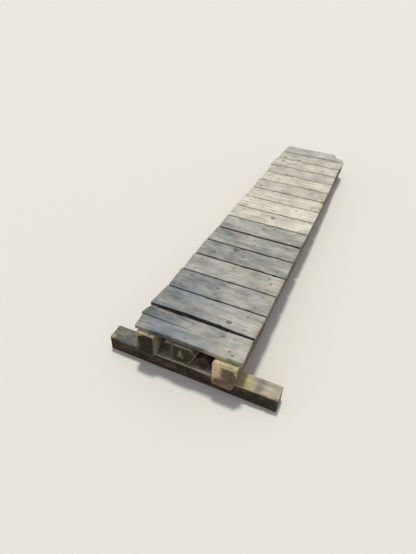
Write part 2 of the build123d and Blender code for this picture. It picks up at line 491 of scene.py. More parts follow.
def tone_board(board, points, states):
    """Adds to the states of a board's points how dirty, light and blue-grey its wood is, with painted shade
    and painted sunlight among them.
    """
    number = board.number
    from_left = points[:, 0] - board.left
    underside = states["radius"] == 1.0
    in_joint = (states["radius"] == 0.5) & (states["end"] == 0)
    in_open = (points[:, 1] < open_at_near) | (points[:, 1] > deck_length - open_at_far)
    down = -points[:, 2] / board_thickness
    # Edges inside the joints are darkened, partly as dirt and partly as painted shade
    states["dirt"][in_joint] = joint_dirt_and_shade
    states["crack"][in_joint & ~in_open] = joint_dark_and_shade
    states["dirt"][in_joint & in_open] = open_dirt
    states["dirt"][in_joint & in_open & (down > 0.42) & (down < 0.66)] = parted_dirt
    if number == 1:
        # The first board's near edge: darker in its middle, partly damp dirt and partly painted shade, and
        # paler and lighter towards both ends, partly pale wood and partly a painted sunlit highlight on the
        # arris
        dry = np.maximum(eased((0.125 - from_left) / 0.07), eased((from_left - 0.36) / 0.14))
        on_edge = np.exp(-np.clip(points[:, 1] - board.near, 0, 1) / 0.004)
        states["pale"] = dry * on_edge
        states["dirt"] *= 1 - 0.9 * dry * on_edge
        states["light"] = (1.2 * dry - 2.7 * (1 - dry)) * on_edge
    states["dirt"][underside] = underside_dirt
    # Each board's lightness: near boards darker as painted shade, far boards lighter as painted sunlight
    states["light"] += board_light_sun_and_shade[number - 1]
    # Painted shade: the nearest boards are darker and bluer towards their left ends
    to_left = 2 * eased(1 - from_left / board.length) - 1
    if number <= 3:
        states["light"] -= 0.55 * to_left
    states["cool"] = board_blue_grey_and_shade[number - 1] * (1 + 0.45 * max(0.0, 1 - number / 8) * to_left)
    states["cool"][underside] *= 0.2


def lay_board(number, material, nails):
    """One deck board, from its node's outline: top, underside, edges, ends and the first one's split."""
    board = plan_board(number)
    x, v, across, split = board.x, board.v, board.across, board.split
    low, crack, rust, stain = work_top(board, nails)
    lift = 0.0004 * uneven(600 + number, x / 0.05, v / 0.006)
    lift += rounded(v, underside_arris)
    lift += rounded(board.width - v, underside_arris)
    top = np.stack([x, board.near + board.y, -low], -1)
    bottom = np.stack([x, board.near + board.y, -board_thickness + lift], -1)

    def edge_rows(column, seed, inward, parted=plain_edge):
        """Points down an edge or a split's wall, set back by its fibres."""
        line_x = x[:, column]
        layers = eased((uneven(seed + 50, line_x / 0.09) - 0.25) / 0.3)
        rows = []
        for row, share in enumerate(down_steps):
            back = 0.0007 * uneven(seed + row, line_x / 0.04)
            back = back + 0.0005 * uneven(seed + 20 + row, line_x / 0.009)
            point = top[:, column] * (1 - share) + bottom[:, column] * share
            point[:, 1] += inward * (back + parted[row] * layers)
            rows.append(point)
        return np.stack(rows, 1)

    # The grids of its faces. Radius marks them here: 0 is the top, 0.5 edges and ends, 1 the underside.
    work = []
    at_edge = np.exp(-np.minimum(v, board.width - v) / 0.006)
    dirt = np.clip(0.55 * at_edge + stain + 0.4 * np.exp(-board.from_end / 0.01), 0, 1)
    moss = np.zeros_like(x)
    if number in (10, 11):
        moss = 0.55 * np.exp(-(x - board.left) / 0.06) * uneven(901, x / 0.05, v / 0.05)
    marks = {"crack": crack, "rust": rust, "dirt": dirt, "moss": moss}
    top_ids = lay(work, top, **marks, **board.knot)
    bottom_ids = lay(work, bottom, radius=1.0, **marks)
    near_edge = edge_rows(0, 700 + number, 1.0, parted_edge if number == 1 else plain_edge)
    near_ids = lay(work, near_edge, radius=0.5)
    far_ids = lay(work, edge_rows(-1, 750 + number, -1.0), radius=0.5)
    caps = []
    for station, outward, seed in ((0, -1.0, 800 + number), (-1, 1.0, 850 + number)):
        rows = []
        for share in down_steps:
            point = top[station] * (1 - share) + bottom[station] * share
            torn = 0.0012 * uneven(seed, across / 0.0035, share / 0.3)
            point[:, 0] -= outward * (torn + 0.003 * crack[station] * eased((0.75 - share) / 0.4))
            rows.append(point[1:-1])
        ids = lay(work, np.stack(rows, 1), radius=0.5, end=1.0)
        ids = np.concatenate([near_ids[station][None], ids, far_ids[station][None]])
        caps.append(np.column_stack([top_ids[station], ids, bottom_ids[station]]))
    faces = []
    face_there = np.ones((len(x) - 1, len(across) - 1), bool)
    cap_there = np.ones((len(across) - 1, len(down_steps) + 1), bool)
    if number == 1:
        reach = int(np.sum(board.gap[:, split] > 0))
        face_there[:reach, split] = False
        cap_there[split] = False
        for column, inward in ((split, -1.0), (split + 1, 1.0)):
            wall = lay(work, edge_rows(column, 760 + column, inward)[1:reach], radius=0.5)
            wall = np.concatenate([caps[0][column, 1:-1][None], wall])
            wall = np.column_stack([top_ids[:reach, column], wall, bottom_ids[:reach, column]])
            share = np.linspace(0, 1, wall.shape[1])[1:-1, None]
            tip = (1 - share) * top[reach, column] + share * bottom[reach, column]
            tip_ids = lay(work, tip, radius=0.5)
            tip_ids = np.concatenate([[top_ids[reach, column]], tip_ids, [bottom_ids[reach, column]]])
            faces += quads(wall) + quads(np.stack([wall[-1], tip_ids]))
    faces += quads(top_ids, face_there) + quads(bottom_ids, face_there)
    for column, ids in ((0, near_ids), (-1, far_ids)):
        faces += quads(np.column_stack([top_ids[:, column], ids, bottom_ids[:, column]]))
    faces += quads(caps[0], cap_there) + quads(caps[1])

    points, states = gathered(work)
    grain = board_grain(board, points)
    tone_board(board, points, states)
    make_piece(f"weathered_board_{number:02d}", from_deck(points), faces, grain, states, material,
               "deck_board", f"deck_board_{number:02d}")


def nail_heads(nails, material):
    """All the nails' flat, slightly domed heads, as one mesh."""
    around = np.linspace(0, 2 * np.pi, 14, endpoint=False)
    levels = [(1.0, -0.0012), (1.0, 0.0001), (0.9, 0.0005), (0.45, 0.0008)]
    dome = 0.0009
    work, faces = [], []
    for place, tilt in nails:
        rings = []
        for reach, height in levels:
            ring_x = nail_head_radius * reach * np.cos(around)
            ring_y = nail_head_radius * reach * np.sin(around)
            rings.append(np.stack([ring_x, ring_y, height + tilt[0] * ring_x + tilt[1] * ring_y], -1))
        ids = closed_round(lay(work, np.stack(rings) + np.array(place)))
        crown = lay(work, np.array([[0.0, 0.0, dome]]) + np.array(place))
        faces += quads(ids) + fan(ids[-1], crown[0]) + [ids[0, :-1].tolist()]
    points = gathered(work)[0]
    make_piece("nail_heads", from_deck(points), faces, points, None, material, "nail")


# Sill and stringers

# Places of a timber's rings in from its ends, and of an end's rings from its rim to its pith
timber_end_steps = np.array([0.0, 0.0010, 0.0026, 0.0050, 0.010])
inner_steps = np.array([0.975, 0.93, 0.87, 0.80, 0.72, 0.63, 0.54, 0.45, 0.36, 0.27, 0.18, 0.09])

# How far in from a timber's ends its evenly spaced rings begin, how many points its outline is softened
# with, and the step either side of a seat's edge
ring_margin = 0.02
outline_points = 1440
seat_step = 0.0004


def end_outline(node, axis, far):
    """Corners of the end of a long node, in order round it. Axis 0 is the sill's, 1 the stringers'."""
    points = node_points(node)
    if axis == 1:
        points = to_deck(points)
    along = points[:, axis]
    limit = along.max() if far else along.min()
    end = points[np.abs(along - limit) < 0.0006][:, [1 - axis, 2]]
    middle = (end.max(0) + end.min(0)) / 2
    turn = np.arctan2(end[:, 0] - middle[0], end[:, 1] - middle[1])
    return limit, end[np.argsort(turn)]


def even_line(line, count):
    """A closed line as a number of evenly spaced points, with their places along it and its length."""
    loop = np.concatenate([line, line[:1]])
    steps = np.concatenate([[0], np.cumsum(np.hypot(*np.diff(loop, axis=0).T))])
    places = np.linspace(0, steps[-1], count, endpoint=False)
    return np.stack([np.interp(places, steps, loop[:, k]) for k in (0, 1)], -1), places, steps[-1]


def even_outline(corners, count, softness):
    """The outline as evenly spaced points from the middle of its top, its corners softened."""
    middle = (corners.max(0) + corners.min(0)) / 2
    line, _, around = even_line(corners, outline_points)
    window = np.hanning(2 * max(1, int(softness / around * outline_points)) + 3)
    window /= window.sum()
    extra = len(window)
    padded = np.concatenate([line[-extra:], line, line[:extra]])
    line = np.stack([np.convolve(padded[:, k], window, "same")[extra:-extra] for k in (0, 1)], -1)
    start = int(np.argmin(np.where(line[:, 1] > middle[1], np.abs(line[:, 0] - middle[0]), 9)))
    return even_line(np.roll(line, -start, axis=0), count)[:2]


def seat_places():
    """Places along the deck where a stringer's underside passes the sill's seat, just before and after."""
    rise = math.tan(fall)
    edges = [edge + step for edge in (-seat_reach, seat_reach) for step in (-seat_step, seat_step)]
    return np.array([(y - deck_place[1] - (sill_top - deck_place[2]) * rise)
                     / (math.cos(fall) + math.sin(fall) * rise) for y in edges])


def seat_on_sill(points):
    """Lays a stringer's points on the sill's seat and the floor, its near end upright below the seat."""
    below = (points[:, 1] < 0.2) & (points[:, 2] < sill_top)
    points[below, 1] += (sill_top - points[below, 2]) * math.tan(fall)
    over_seat = (np.abs(points[:, 1]) < seat_reach) & (points[:, 2] < sill_top)
    points[over_seat, 2] = sill_top
    points[:, 2] = np.maximum(points[:, 2], 0.0)


def lay_timber(name, node, slot, material, number, count, spacing, softness, surface, ends, arris=0.003):
    """A log or squared timber: rings of points along it, and shrinking rings at each end.

    A ring has count points, rings stand a spacing apart, and the outline's corners are softened by
    softness. surface(along, arc, turn, rings) gives how deep the sides are worn and the state of their
    wood, at places along the timber and round it, in metres and as a share of the way round. Ends are
    what sawn_end gives for the first and the last end, and arris is the radius of their arrises.
    """
    axis = 0 if node == "near_sill" else 1
    near_limit, near_corners = end_outline(node, axis, False)
    far_limit, far_corners = end_outline(node, axis, True)
    near_line, arc = even_outline(near_corners, count, softness)
    far_line = even_outline(far_corners, count, softness)[0]
    length = far_limit - near_limit
    even = np.arange(ring_margin, length - ring_margin, spacing)
    places = [timber_end_steps, even, length - timber_end_steps[::-1]]
    if axis == 1:
        places.append(seat_places() - near_limit)
    places = np.concatenate(places)
    places = np.unique(places[(places >= 0) & (places <= length)].round(6))
    share = (places / length)[:, None, None]
    rings = near_line * (1 - share) + far_line * share
    middle = (rings.max(1) + rings.min(1)) / 2
    tangent = np.roll(rings, -1, axis=1) - np.roll(rings, 1, axis=1)
    normal = np.stack([tangent[..., 1], -tangent[..., 0]], -1)
    normal /= np.linalg.norm(normal, axis=-1, keepdims=True)
    normal *= np.sign(np.sum(normal * (rings - middle[:, None]), -1, keepdims=True))
    along = np.tile((near_limit + places)[:, None], count)
    arcs = np.tile(arc, (len(places), 1))
    state = surface(along, arcs, arcs / arc.max(), rings)
    depth = state["depth"] + rounded(np.minimum(places, length - places)[:, None], arris)
    worn = rings - normal * depth[..., None]
    shift = state.get("shift", np.zeros_like(along))

    def placed(lengthwise, cross):
        """Points from places along the timber and in its section."""
        parts = [cross[..., 0], cross[..., 1]]
        parts.insert(axis, lengthwise)
        return np.stack(parts, -1)

    work = []
    ids = lay(work, placed(along + shift, worn), radius=1.0, **state)
    faces = quads(closed_round(ids))
    for (pith, shape), station, inward in zip(ends, (0, -1), (1, -1)):
        pith = middle[station] + pith
        cross = pith + (worn[station] - pith) * inner_steps[:, None, None]
        share = np.tile(inner_steps[:, None], count)
        shaped = shape(share, np.tile(arc / arc.max(), (len(inner_steps), 1)), cross)
        sunk = shaped["depth"] * inward
        lean, mean_lean = shift[station], shift[station].mean()
        end_face = placed(along[station, 0] + (lean * share + mean_lean * (1 - share)) + sunk, cross)
        grid = lay(work, end_face, end=1.0, radius=share * shaped.get("rim", 1.0), **shaped)
        at_pith = placed(np.array([along[station, 0] + mean_lean + sunk[-1].mean()]), pith[None])
        crown = lay(work, at_pith, end=1.0, **{key: values[-1].mean() for key, values in shaped.items()})
        grid = closed_round(np.concatenate([ids[station][None], grid]))
        faces += quads(grid) + fan(grid[-1], crown[0])

    points, states = gathered(work)
    if axis == 1:
        share = np.clip((points[:, 1] - near_limit) / length, 0, 1)[:, None]
        heart = middle[0] * (1 - share) + middle[-1] * share + ends[0][0]
        grain = np.stack([points[:, 1], points[:, 0] - heart[:, 0], points[:, 2] - heart[:, 1]], -1)
        points = from_deck(points)
        seat_on_sill(points)
    else:
        heart = middle.mean(0) + ends[0][0]
        grain = points - np.array([0, heart[0], heart[1]])
    grain = grain + np.array([next_timber * number, 0, 0])
    make_piece(name, points, faces, grain, states, material, slot, node)


def sawn_end(seed, pith, saw=0.0003, marks=None):
    """The pith's place in a sawn end, and a function for its saw marks and the state of its wood."""
    def shape(share, turn, cross):
        depth = 0.0006 + saw * uneven(seed, cross[..., 1] / 0.0035, cross[..., 0] / 0.05)
        depth += 0.0010 * uneven(seed + 1, cross[..., 0] / 0.02, cross[..., 1] / 0.02)
        return {"depth": depth, **(marks(share, turn, cross) if marks else {})}

    return np.array(pith), shape


def worn_side(along, arc, turn, lumps, checks, knots):
    """The wear, the drying checks and the knots of a timber's sides, and how proud the knots stand.

    Lumps and checks begin with a seed. A lump is (depth, length, width), a check (share of the way
    round, first and last place along), and a knot (place along, share of the way round, radius).
    """
    wear = sum(depth * uneven(lumps[0] + count, along / length, arc / width)
               for count, (depth, length, width) in enumerate(lumps[1:]))
    crack, proud, places = np.zeros_like(along), np.zeros_like(along), []
    for count, (check_turn, first, last) in enumerate(checks[1:]):
        wobble = 0.004 * (uneven(checks[0] + count, along / 0.3) - 0.5)
        ends = eased((along - first) / 0.12) * eased((last - along) / 0.12)
        crack = np.maximum(crack, bump(arc - check_turn * arc.max() - wobble, 0.0, 0.0016) * ends)
    for place, knot_turn, radius in knots:
        beside = ((turn - knot_turn + 0.5) % 1 - 0.5) * arc.max()
        places.append(np.stack([(along - place) / (1.3 * radius), beside / radius], -1))
        reach = np.hypot(places[-1][..., 0], places[-1][..., 1])
        proud = np.maximum(proud, bump(reach, 0.0, 2.2))
    return wear, crack, nearest_knot(places), proud


def height_share(cross):
    """Height in a section as a share of the whole."""
    return (cross[..., 1] - cross[..., 1].min()) / np.ptp(cross[..., 1])


def left_timber(material):
    """The rough-sawn left stringer: saw marks across its faces, moss along its outer top edge."""
    def surface(along, arc, turn, rings):
        wear, crack, knot, proud = worn_side(
            along, arc, turn, (12, (0.0016, 0.25, 0.03), (0.0006, 0.06, 0.005)),
            (14, (0.30, 0.1, 1.3), (0.24, 1.1, 2.4), (0.72, 0.3, 1.9), (0.5, 0.2, 2.8)),
            [(0.48, 0.78, 0.016), (1.12, 0.70, 0.011), (1.71, 0.80, 0.019), (2.42, 0.74, 0.013),
             (0.9, 0.25, 0.014)])
        saw = 0.0005 * uneven(11, along / 0.006, arc / 0.08)
        moss = bump(turn, 0.90, 0.07) * uneven(15, along / 0.12, arc / 0.03)
        from_end = along - along.min()
        # Darker round the end, apart from its top and left side
        dark_end_rim = np.exp(-from_end / 0.006) * eased((turn - 0.10) / 0.05) * eased((0.74 - turn) / 0.06)
        # Painted shade: darker along its inner side under the deck, past the first few centimetres from its
        # end
        inner_side = eased((turn - 0.09) / 0.03) * eased((0.42 - turn) / 0.03)
        damp = 1.3 * inner_side * eased((from_end - 0.035) / 0.05)
        dirt = np.maximum(0.5 * uneven(16, along / 0.2, arc / 0.05), np.maximum(1.5 * dark_end_rim, damp))
        return {"depth": saw + wear * (1 - proud) + 0.005 * crack, "crack": crack, "dirt": dirt,
                "moss": moss * np.exp(-np.clip(along, 0, 9) / 0.5), **knot}

    def mossy(share, turn, cross):
        # Moss at the end's top left, and its left side paler, partly pale wood and partly painted sunlight
        return {"moss": 0.95 * eased((share - 0.70) / 0.25) * bump(turn, 0.90, 0.08),
                "pale": 0.6 * eased((share - 0.55) / 0.3) * bump(turn, 0.76, 0.09),
                "rim": 0.78 + 0.22 * bump(turn, 0.88, 0.12)}

    ends = (sawn_end(17, (0.004, -0.03), 0.0007, mossy), sawn_end(18, (0.0, -0.03)))
    lay_timber("rough_sawn_left_stringer", "left_stringer", "sawn_stringer", material, 1,
               120, 0.022, 0.004, surface, ends)


def middle_log(material):
    """The hewn middle stringer: axe facets along it and a star of checks in its leaning near end."""
    def surface(along, arc, turn, rings):
        wear, crack, knot, proud = worn_side(
            along, arc, turn, (22, (0.0022, 0.3, 0.05), (0.0008, 0.05, 0.006)),
            (24, (0.22, 0.0, 1.6), (0.68, 0.2, 2.2), (0.45, 0.5, 2.9), (0.83, 0.9, 2.6)),
            [(0.7, 0.3, 0.015), (1.9, 0.75, 0.013)])
        scallop = np.abs(uneven(21, along / 0.055, arc / 0.035) - 0.5) * 0.006
        from_near = np.clip(1 - (along - along.min()) / 0.12, 0, 1)
        return {"depth": (scallop + wear) * (1 - proud) + 0.006 * crack, "crack": crack,
                "dirt": 0.6 * uneven(25, along / 0.2, arc / 0.05),
                "shift": (0.006 - 0.017 * height_share(rings)) * eased(from_near), **knot}

    def starred(share, turn, cross):
        dx = cross[..., 0] - cross[..., 0].mean() + 0.010
        dz = cross[..., 1] - cross[..., 1].mean() - 0.001
        pale = np.zeros_like(share)
        for angle, reach in ((80, 0.050), (-120, 0.042), (-60, 0.042)):
            cosine, sine = math.cos(math.radians(angle)), math.sin(math.radians(angle))
            ahead, beside = dx * cosine + dz * sine, dz * cosine - dx * sine
            thick = 0.0105 * (1 - 0.6 * np.clip(ahead / reach, 0, 1))
            arm = bump(beside, 0.0, thick) * eased((reach - ahead) / 0.025) * eased((ahead + 0.010) / 0.010)
            pale = np.maximum(pale, arm * (0.4 + 0.6 * uneven(28, dx / 0.012, dz / 0.016)))
        return {"pale": pale}

    ends = (sawn_end(26, (-0.012, -0.006), 0.0004, starred), sawn_end(27, (0.0, 0.0)))
    lay_timber("axe_hewn_middle_stringer", "middle_stringer", "hewn_stringer", material, 2,
               120, 0.020, 0.006, surface, ends)


def thin_pole(material):
    """The round pole with its thin end on the sill, peeled, with branch stubs worn to low bumps."""
    def surface(along, arc, turn, rings):
        wear, crack, knot, proud = worn_side(
            along, arc, turn, (31, (0.0020, 0.35, 0.05), (0.0007, 0.05, 0.006)),
            (33, (0.15, 0.1, 1.9), (0.60, 0.4, 2.7), (0.85, 1.0, 2.2)),
            [(0.6, 0.2, 0.010), (1.5, 0.8, 0.011), (2.3, 0.6, 0.012)])
        stubs = 0.0025 * eased((uneven(34, along / 0.16, arc / 0.05) - 0.78) / 0.15)
        return {"depth": 0.0025 + wear - stubs - 0.001 * proud + 0.005 * crack, "crack": crack,
                "dirt": 0.6 * uneven(35, along / 0.2, arc / 0.04), **knot}

    ends = (sawn_end(36, (0.002, 0.001)), sawn_end(37, (0.0, 0.004)))
    lay_timber("peeled_pole_stringer", "pole_stringer", "pole_stringer", material, 3,
               84, 0.028, 0.002, surface, ends)


def right_log(material):
    """The notched right log: pale mossy sapwood round a dark heart, paler on the left and top of its end
    partly as painted sunlight, with long checks down its side.
    """
    def surface(along, arc, turn, rings):
        wear, crack, knot, proud = worn_side(
            along, arc, turn, (41, (0.0060, 0.32, 0.09), (0.0009, 0.07, 0.006)),
            (43, (0.18, -0.02, 1.2), (0.24, 0.8, 2.7), (0.30, 0.1, 2.0), (0.72, -0.02, 1.5),
             (0.80, 1.0, 2.9), (0.5, 0.3, 2.5)),
            [(0.37, 0.27, 0.017), (0.98, 0.20, 0.013), (1.46, 0.30, 0.020), (2.05, 0.22, 0.014),
             (2.62, 0.27, 0.016)])
        moss = eased((height_share(rings) - 0.80) / 0.15) * np.exp(-np.clip(along - 0.02, 0, 9) / 0.02)
        return {"depth": 0.0006 + wear * (1 - proud) + 0.006 * crack, "crack": crack, "moss": moss,
                "dirt": 0.3 * uneven(44, along / 0.25, arc / 0.05), **knot}

    def sapwood(share, turn, cross):
        height = height_share(cross)
        inward = (cross[..., 0] - cross[..., 0].min()) / np.ptp(cross[..., 0])
        # The end's left and top are paler and show the sapwood rim, partly as painted sunlight
        left = eased((0.46 - inward) / 0.22)
        above = eased((height - 0.66) / 0.15)
        return {"moss": 0.9 * eased((height - 0.80) / 0.13) * eased((share - 0.5) / 0.3),
                "pale": 1.15 * left * eased((height - 0.22) / 0.25),
                "dirt": 0.9 * eased((0.40 - height) / 0.25) * eased((0.75 - inward) / 0.5),
                "rim": 0.72 + 0.28 * np.maximum(left * eased((height - 0.1) / 0.2), above)}

    ends = (sawn_end(45, (0.008, 0.004), 0.0005, sapwood), sawn_end(46, (0.0, 0.0)))
    lay_timber("notched_right_log", "right_stringer", "log_stringer", material, 4,
               120, 0.022, 0.004, surface, ends)


def sill_timber(material):
    """The squared sill: battered arrises, moss where it stands in the wet, a torn right end."""
    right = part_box("near_sill")[1].x
    log_left_side = deck_left + 0.622

    def surface(along, arc, turn, rings):
        wear, crack, knot, proud = worn_side(
            along, arc, turn, (51, (0.0022, 0.2, 0.04), (0.0008, 0.06, 0.005)),
            (54, (0.03, -0.45, 0.1), (0.06, 0.36, 0.50), (0.66, -0.4, 0.4), (0.72, -0.1, 0.49)),
            [(-0.15, 0.80, 0.013), (0.29, 0.78, 0.010)])
        saw = 0.0004 * uneven(53, along / 0.006, arc / 0.05)
        front_arris = bump((turn - 0.875 + 0.5) % 1, 0.5, 0.03)
        near_edge = bump((turn - 0.905 + 0.5) % 1, 0.5, 0.04)
        battered = front_arris * eased((along - right + 0.15) / 0.06) * 0.009
        battered = battered * uneven(55, along / 0.022, arc / 0.02)
        top = eased((rings[..., 1] - 0.085) / 0.012)
        from_log = along - log_left_side
        moss = top * eased((from_log + 0.045) / 0.012) * eased((0.074 - from_log) / 0.045)
        moss = moss * (0.55 + 0.45 * uneven(56, along / 0.03, arc / 0.03))
        moss = np.maximum(moss, 1.3 * near_edge * eased((0.034 - (along - along.min())) / 0.016))
        # Painted shade: the top is darker and blue-grey towards the left end
        painted_shade_at_left = eased((deck_left + 0.20 - along) / 0.15)
        grey_at_log = 0.55 * top * eased((from_log - 0.055) / 0.02) * eased((0.115 - from_log) / 0.03)
        # Its sides are dark with earth and, partly, painted shade
        return {"depth": 0.0005 + saw + (wear + battered) * (1 - proud) + 0.005 * crack, "crack": crack,
                "moss": moss, "dirt": 1 - top + 0.25 * uneven(57, along / 0.1, arc / 0.04),
                "pale": near_edge * eased((from_log - 0.085) / 0.02) * eased((0.160 - from_log) / 0.03),
                "cool": np.maximum(top * painted_shade_at_left, grey_at_log), **knot}

    ends = (sawn_end(58, (0.004, 0.012)), sawn_end(59, (0.004, 0.012), 0.0012))
    lay_timber("squared_sill", "near_sill", "sill", material, 5,
               110, 0.009, 0.004, surface, ends, arris=0.004)


# Materials

# Growth rings are drawn about 8 mm apart and rust pits 2 mm, wider than real ones, so that they show
rings_per_metre = 118.0
pits_per_metre = 600.0
rust_brown = "#6e4227"


def linear(colour):
    """An sRGB hex colour as linear red, green, blue and alpha."""
    channels = [int(colour[k:k + 2], 16) / 255 for k in (1, 3, 5)]
    return [c / 12.92 if c <= 0.04045 else ((c + 0.055) / 1.055) ** 2.4 for c in channels] + [1.0]


def add(tree, kind, inputs, stops=(), out=0, **settings):
    """Adds a node with its settings, fills or links its inputs, sets a ramp's colours; gives an output."""
    node = tree.nodes.new("ShaderNode" + kind)
    for name, value in settings.items():
        setattr(node, name, value)
    for name, value in inputs.items() if isinstance(inputs, dict) else enumerate(inputs):
        if isinstance(value, bpy.types.NodeSocket):
            tree.links.new(value, node.inputs[name])
        else:
            node.inputs[name].default_value = value
    for count, (position, colour) in enumerate(stops):
        colours = node.color_ramp.elements
        if count == 0:
            colours.remove(colours[1])
            colours[0].position = position
        stop = colours.new(position) if count else colours[0]
        stop.color = linear(colour)
    return node.outputs if out is None else node.outputs[out]


def new_material(name):
    """A material with its node tree, and its surface shader's inputs."""
    material = bpy.data.materials.new(name)
    material.use_nodes = True
    return material, material.node_tree, material.node_tree.nodes["Principled BSDF"].inputs


def radial_checks(tree, flat, grain, width, spread):
    """Wavering lines that run out from the middle of a flat place, as wide as stated: 1 on a line.

    A larger spread gives more lines. The place in the grain makes each star differ.
    """
    turned = add(tree, "VectorMath", [flat], operation="NORMALIZE")
    turned = add(tree, "VectorMath", [grain, (4.0, 4.0, 4.0), turned], operation="MULTIPLY_ADD")
    reach = add(tree, "VectorMath", [flat], operation="LENGTH", out="Value")
    noise = add(tree, "TexNoise", {"Vector": turned, "Scale": spread, "Detail": 1.2})
    away = add(tree, "Math", [noise, 0.5], operation="SUBTRACT")
    away = add(tree, "Math", [away], operation="ABSOLUTE")
    away = add(tree, "Math", [away, reach], operation="MULTIPLY")
    return add(tree, "MapRange", [away, 0.0, width, 1.0, 0.0], interpolation_type="SMOOTHSTEP")


def growth_rings(tree, grain):
    """Growth rings about the pith, of uneven width and not quite round: 1 in the dark late wood."""
    flat = add(tree, "VectorMath", [grain, (0, 1, 1)], operation="MULTIPLY")
    reach = add(tree, "VectorMath", [flat], operation="LENGTH", out="Value")
    place = add(tree, "VectorMath", [grain, (2.4, 11.0, 11.0)], operation="MULTIPLY")
    bend = add(tree, "TexNoise", {"Vector": place, "Scale": 1.0, "Detail": 2.0})
    bent = add(tree, "Math", [bend, 0.030, reach], operation="MULTIPLY_ADD")
    widths = add(tree, "TexNoise", {"W": bent, "Scale": 42.0, "Detail": 1.0}, noise_dimensions="1D")
    count = add(tree, "Math", [bent, rings_per_metre], operation="MULTIPLY")
    count = add(tree, "Math", [widths, 2.6, count], operation="MULTIPLY_ADD")
    share = add(tree, "Math", [count], operation="FRACT")
    rise = add(tree, "MapRange", [share, 0.10, 0.86], interpolation_type="SMOOTHSTEP")
    drop = add(tree, "MapRange", [share, 0.88, 1.0, 1.0, 0.0])
    return add(tree, "Math", [rise, drop], operation="MULTIPLY")


def wood_patterns(tree, grain):
    """Growth rings, and noise drawn out along the grain, from fibres to weathered patches."""
    # As (length, width, detail), in mm. Fibres and hairline checks are really a few tenths of a mm wide,
    # and are drawn as coarse as they need to be to show.
    patterns = {"fibre": (110, 1.6, 3.0), "streak": (260, 6.5, 3.0), "cloud": (150, 70, 4.0),
                "blot": (40, 22, 4.0), "speck": (9, 4.5, 2.0), "hairline": (120, 2.2, 1.0),
                "weather": (130, 90, 2.0)}
    value = {"rings": growth_rings(tree, grain)}
    for label, (along, across, detail) in patterns.items():
        scale = (1000 / along, 1000 / across, 1000 / across)
        place = add(tree, "VectorMath", [grain, scale], operation="MULTIPLY")
        noise = add(tree, "TexNoise", {"Vector": place, "Scale": 1.0, "Detail": detail, "Roughness": 0.62})
        value[label] = add(tree, "MapRange", [noise, 0.30, 0.70])
    return value


def end_grain(tree, value, state, look):
    """The colour of end grain: rings about the pith, darker and browner, with the sapwood as a rim."""
    tone = add(tree, "Math", [value["rings"], -0.45, 0.42], operation="MULTIPLY_ADD")
    tone = add(tree, "Math", [value["blot"], 0.55, tone], operation="MULTIPLY_ADD")
    heart = add(tree, "ValToRGB", [tone], look["heart"])
    sap = add(tree, "ValToRGB", [tone], look["sap"])
    rim = add(tree, "Math", [value["blot"], 0.10, state["radius"]], operation="MULTIPLY_ADD")
    rim = add(tree, "MapRange", [rim, look["rim"], look["rim"] + 0.14], interpolation_type="SMOOTHSTEP")
    return add(tree, "Mix", {0: rim, 6: heart, 7: sap}, data_type="RGBA", out=2)


def knot_wood(tree, layer, value, state, look):
    """Knots, about their own middles: where they are, their colour, and the checks across them."""
    about = add(tree, "VectorMath", [layer["knot"], (1, 1, 0)], operation="MULTIPLY")
    reach = add(tree, "VectorMath", [about], operation="LENGTH", out="Value")
    reach = add(tree, "Math", [value["blot"], 0.25, reach], operation="MULTIPLY_ADD")
    knot = add(tree, "MapRange", [reach, 1.20, 1.05, 0.0, state["knot_near"]])
    turns = add(tree, "Math", [reach, 16.0], operation="MULTIPLY")
    turns = add(tree, "Math", [turns], operation="SINE")
    tone = add(tree, "Math", [turns, 0.12, reach], operation="MULTIPLY_ADD")
    colour = add(tree, "ValToRGB", [tone], look["knot"])
    inner = add(tree, "MapRange", [reach, 1.0, 0.5, 0.0, 0.55])
    checks = radial_checks(tree, about, layer["grain"], 0.040, 0.8)
    for share in (inner, knot):
        checks = add(tree, "Math", [checks, share], operation="MULTIPLY")
    return knot, colour, checks


def outdoor_coats(tree, value, state, look):
    """What lies over the wood, as shares and colours: blue-grey bloom and dirt, both partly painted shade,
    bleached wood, partly painted sunlight, and moss.
    """
    patch = add(tree, "MapRange", [value["cloud"], 0.25, 0.75], interpolation_type="SMOOTHSTEP")
    clumps = add(tree, "Math", [value["blot"], 0.9, -0.45], operation="MULTIPLY_ADD")
    clumps = add(tree, "Math", [clumps, state["moss"]], operation="ADD")
    clumps = add(tree, "MapRange", [clumps, 0.25, 0.75], interpolation_type="SMOOTHSTEP")
    coats = []
    # How strongly each shows, what breaks it up and how far, its share at most, and its colour
    for amount, broken, depth, share, over in (
            (state["cool"], patch, 0.60, 0.84, look["cool"]),
            (state["cool"], value["blot"], 0.65, 0.40, look["cool_dark"]),
            (state["dirt"], value["blot"], look["dirt_broken"], look["dirt_share"], look["dirt"]),
            (state["pale"], value["streak"], 0.5, look["pale_share"], look["pale"]),
            (clumps, value["speck"], 0.3, look["moss_share"], look["moss"])):
        part = add(tree, "Math", [broken, depth, 1 - depth], operation="MULTIPLY_ADD")
        part = add(tree, "Math", [part, amount], operation="MULTIPLY")
        part = add(tree, "Math", [part, share], operation="MULTIPLY", use_clamp=True)
        coats.append((part, linear(over)))
    return coats


